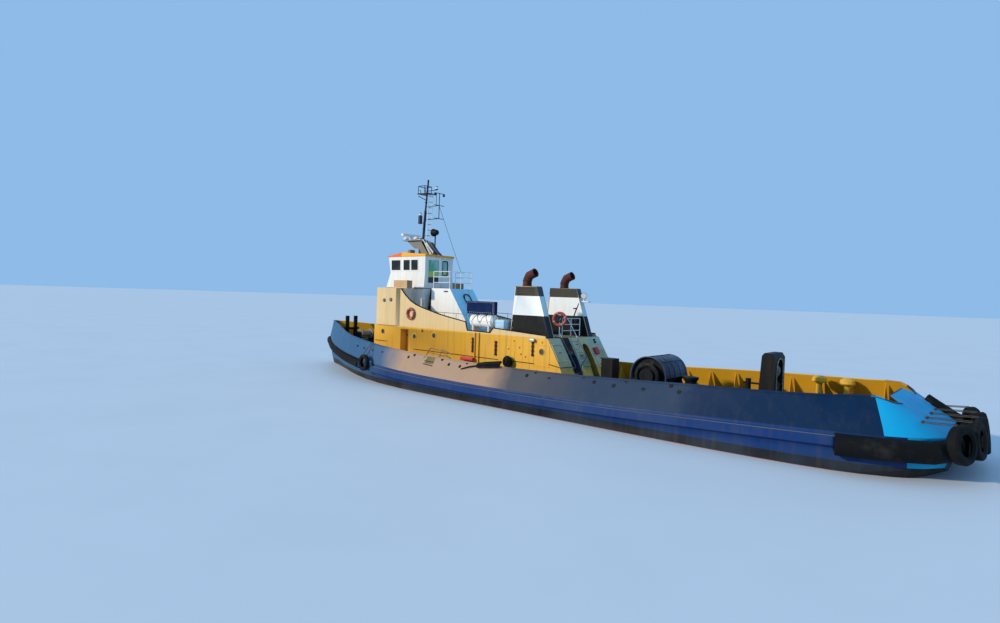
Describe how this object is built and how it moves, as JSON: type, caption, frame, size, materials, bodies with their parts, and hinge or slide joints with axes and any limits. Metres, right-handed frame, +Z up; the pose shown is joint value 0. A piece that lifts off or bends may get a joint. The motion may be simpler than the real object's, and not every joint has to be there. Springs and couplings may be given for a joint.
{
  "type": "tugboat",
  "caption": "Twin-screw harbour tugboat with a raked deckhouse, hollow wheelhouse, slim funnels, towing winch and stern tow arch, modelled afloat.",
  "frame": {"origin": "on the centreline at mid length, at the waterline", "axes": "+X to the bow, +Y to port, +Z up"},
  "size_m": [37.9086, 8.9436, 15.8554],
  "materials": {
    "hull_paint": "weathered blue paint",
    "bulwark_paint": "chalky faded blue paint",
    "yellow_paint": "weathered gloss paint",
    "cream_paint": "weathered gloss paint",
    "white_paint": "weathered gloss paint",
    "black_paint": "worn black paint",
    "grey_paint": "satin paint",
    "roof_paint": "faded orange paint",
    "rusty_steel": "heat-scaled rust",
    "bronze": "dull cast bronze",
    "fender_rubber": "scuffed rubber",
    "ring_plastic": "faded orange",
    "raft_plastic": "gel coat",
    "seat_cover": "worn",
    "canvas": "navy canvas"
  },
  "bodies": {
    "ship": {"hull": "hull_paint", "bulwark_port": "bulwark_paint", "bulwark_starboard": "bulwark_paint", "fender_bow": "fender_rubber", "fender_stern": "fender_rubber", "nozzle_port": "hull_paint", "nozzle_starboard": "hull_paint", "deckhouse": "yellow_paint", "bridge_block": "cream_paint", "wheelhouse_trunk": "white_paint", "casing": "white_paint", "side_screen_port": "cream_paint", "side_screen_starboard": "cream_paint", "wheelhouse_port": "white_paint", "wheelhouse_starboard": "white_paint", "wheelhouse_front": "white_paint", "wheelhouse_aft": "white_paint", "wheelhouse_floor": "grey_paint", "wheelhouse_roof": "roof_paint", "helm_console": "grey_paint", "helm_seat": "seat_cover", "funnel_port": "black_paint", "funnel_starboard": "black_paint", "exhaust_port": "rusty_steel", "exhaust_starboard": "rusty_steel", "liferaft_port": "raft_plastic", "liferaft_starboard": "raft_plastic", "bitts_port": "black_paint", "bitts_starboard": "black_paint", "bitts_bow": "black_paint", "mast": "black_paint", "main_stay": "black_paint", "tyre_port": "fender_rubber", "tyre_starboard": "fender_rubber", "quarter_vents": "yellow_paint", "bridge_rail": "white_paint", "boat_deck_rail": "white_paint", "life_ring_side": "ring_plastic", "life_ring_aft": "ring_plastic", "canvas_box": "canvas", "winch_frame": "black_paint", "power_box": "black_paint", "capstan_base": "black_paint", "tow_arch": "black_paint", "windlass_frame": "black_paint"},
    "propeller_port": {"propeller_port": "bronze"},
    "propeller_starboard": {"propeller_starboard": "bronze"},
    "rudder_port": {"rudder_port": "hull_paint"},
    "rudder_starboard": {"rudder_starboard": "hull_paint"},
    "radar_scanner": {"radar_scanner": "white_paint"},
    "searchlight": {"searchlight": "black_paint"},
    "winch_drum": {"winch_drum": "black_paint"},
    "capstan_head": {"capstan_head": "black_paint"},
    "arch_sheave": {"arch_sheave": "grey_paint"},
    "windlass_drum": {"windlass_drum": "black_paint"},
    "wheelhouse_door": {"wheelhouse_door": "white_paint"},
    "casing_door": {"casing_door": "white_paint"},
    "side_door_port": {"side_door_port": "yellow_paint"},
    "side_door_starboard": {"side_door_starboard": "yellow_paint"},
    "aft_door": {"aft_door": "yellow_paint"}
  },
  "joints": [
    {"name": "propeller_port_turn", "type": "hinge", "parent": "ship", "child": "propeller_port", "pos_m": [-14.6, 2, -2.15], "axis": [1, 0, 0], "continuous": true},
    {"name": "propeller_starboard_turn", "type": "hinge", "parent": "ship", "child": "propeller_starboard", "pos_m": [-14.6, -2, -2.15], "axis": [1, 0, 0], "continuous": true},
    {"name": "rudder_port_turn", "type": "hinge", "parent": "ship", "child": "rudder_port", "pos_m": [-16.15, 2, -2], "axis": [0, 0, 1], "range_deg": [-35, 35]},
    {"name": "rudder_starboard_turn", "type": "hinge", "parent": "ship", "child": "rudder_starboard", "pos_m": [-16.15, -2, -2], "axis": [0, 0, 1], "range_deg": [-35, 35]},
    {"name": "radar_turn", "type": "hinge", "parent": "ship", "child": "radar_scanner", "pos_m": [10.15, 0, 8.7], "axis": [0, 0, 1], "continuous": true},
    {"name": "searchlight_turn", "type": "hinge", "parent": "ship", "child": "searchlight", "pos_m": [7.87, 0, 8.9], "axis": [0, 0, 1], "range_deg": [-170, 170]},
    {"name": "winch_turn", "type": "hinge", "parent": "ship", "child": "winch_drum", "pos_m": [-7.3, 0, 1.93], "axis": [0, 1, 0], "continuous": true},
    {"name": "capstan_turn", "type": "hinge", "parent": "ship", "child": "capstan_head", "pos_m": [-9.1, 0.7, 1.7], "axis": [0, 0, 1], "continuous": true},
    {"name": "sheave_turn", "type": "hinge", "parent": "ship", "child": "arch_sheave", "pos_m": [-12.13, 0, 2.6], "axis": [0, 1, 0], "continuous": true},
    {"name": "windlass_turn", "type": "hinge", "parent": "ship", "child": "windlass_drum", "pos_m": [14.7, 0, 2.33], "axis": [0, 1, 0], "continuous": true},
    {"name": "wheelhouse_door_swing", "type": "hinge", "parent": "ship", "child": "wheelhouse_door", "pos_m": [7.398, -0.832, 6.5], "axis": [0, 0, 1], "range_deg": [0, 90]},
    {"name": "casing_door_swing", "type": "hinge", "parent": "ship", "child": "casing_door", "pos_m": [4.2466, -0.342, 4.0901], "axis": [0.6007, 0, 0.7995], "range_deg": [0, 110]},
    {"name": "side_door_port_swing", "type": "hinge", "parent": "ship", "child": "side_door_port", "pos_m": [8.14, 1.812, 2], "axis": [0, 0, -1], "range_deg": [0, 85]},
    {"name": "side_door_starboard_swing", "type": "hinge", "parent": "ship", "child": "side_door_starboard", "pos_m": [8.14, -1.812, 2], "axis": [0, 0, 1], "range_deg": [0, 85]},
    {"name": "aft_door_swing", "type": "hinge", "parent": "ship", "child": "aft_door", "pos_m": [-2.282, -0.81, 2], "axis": [0, 0, 1], "range_deg": [0, 85]}
  ],
  "couplings": [
    {"joint": "rudder_starboard_turn", "follows": "rudder_port_turn", "ratio": 1}
  ]
}
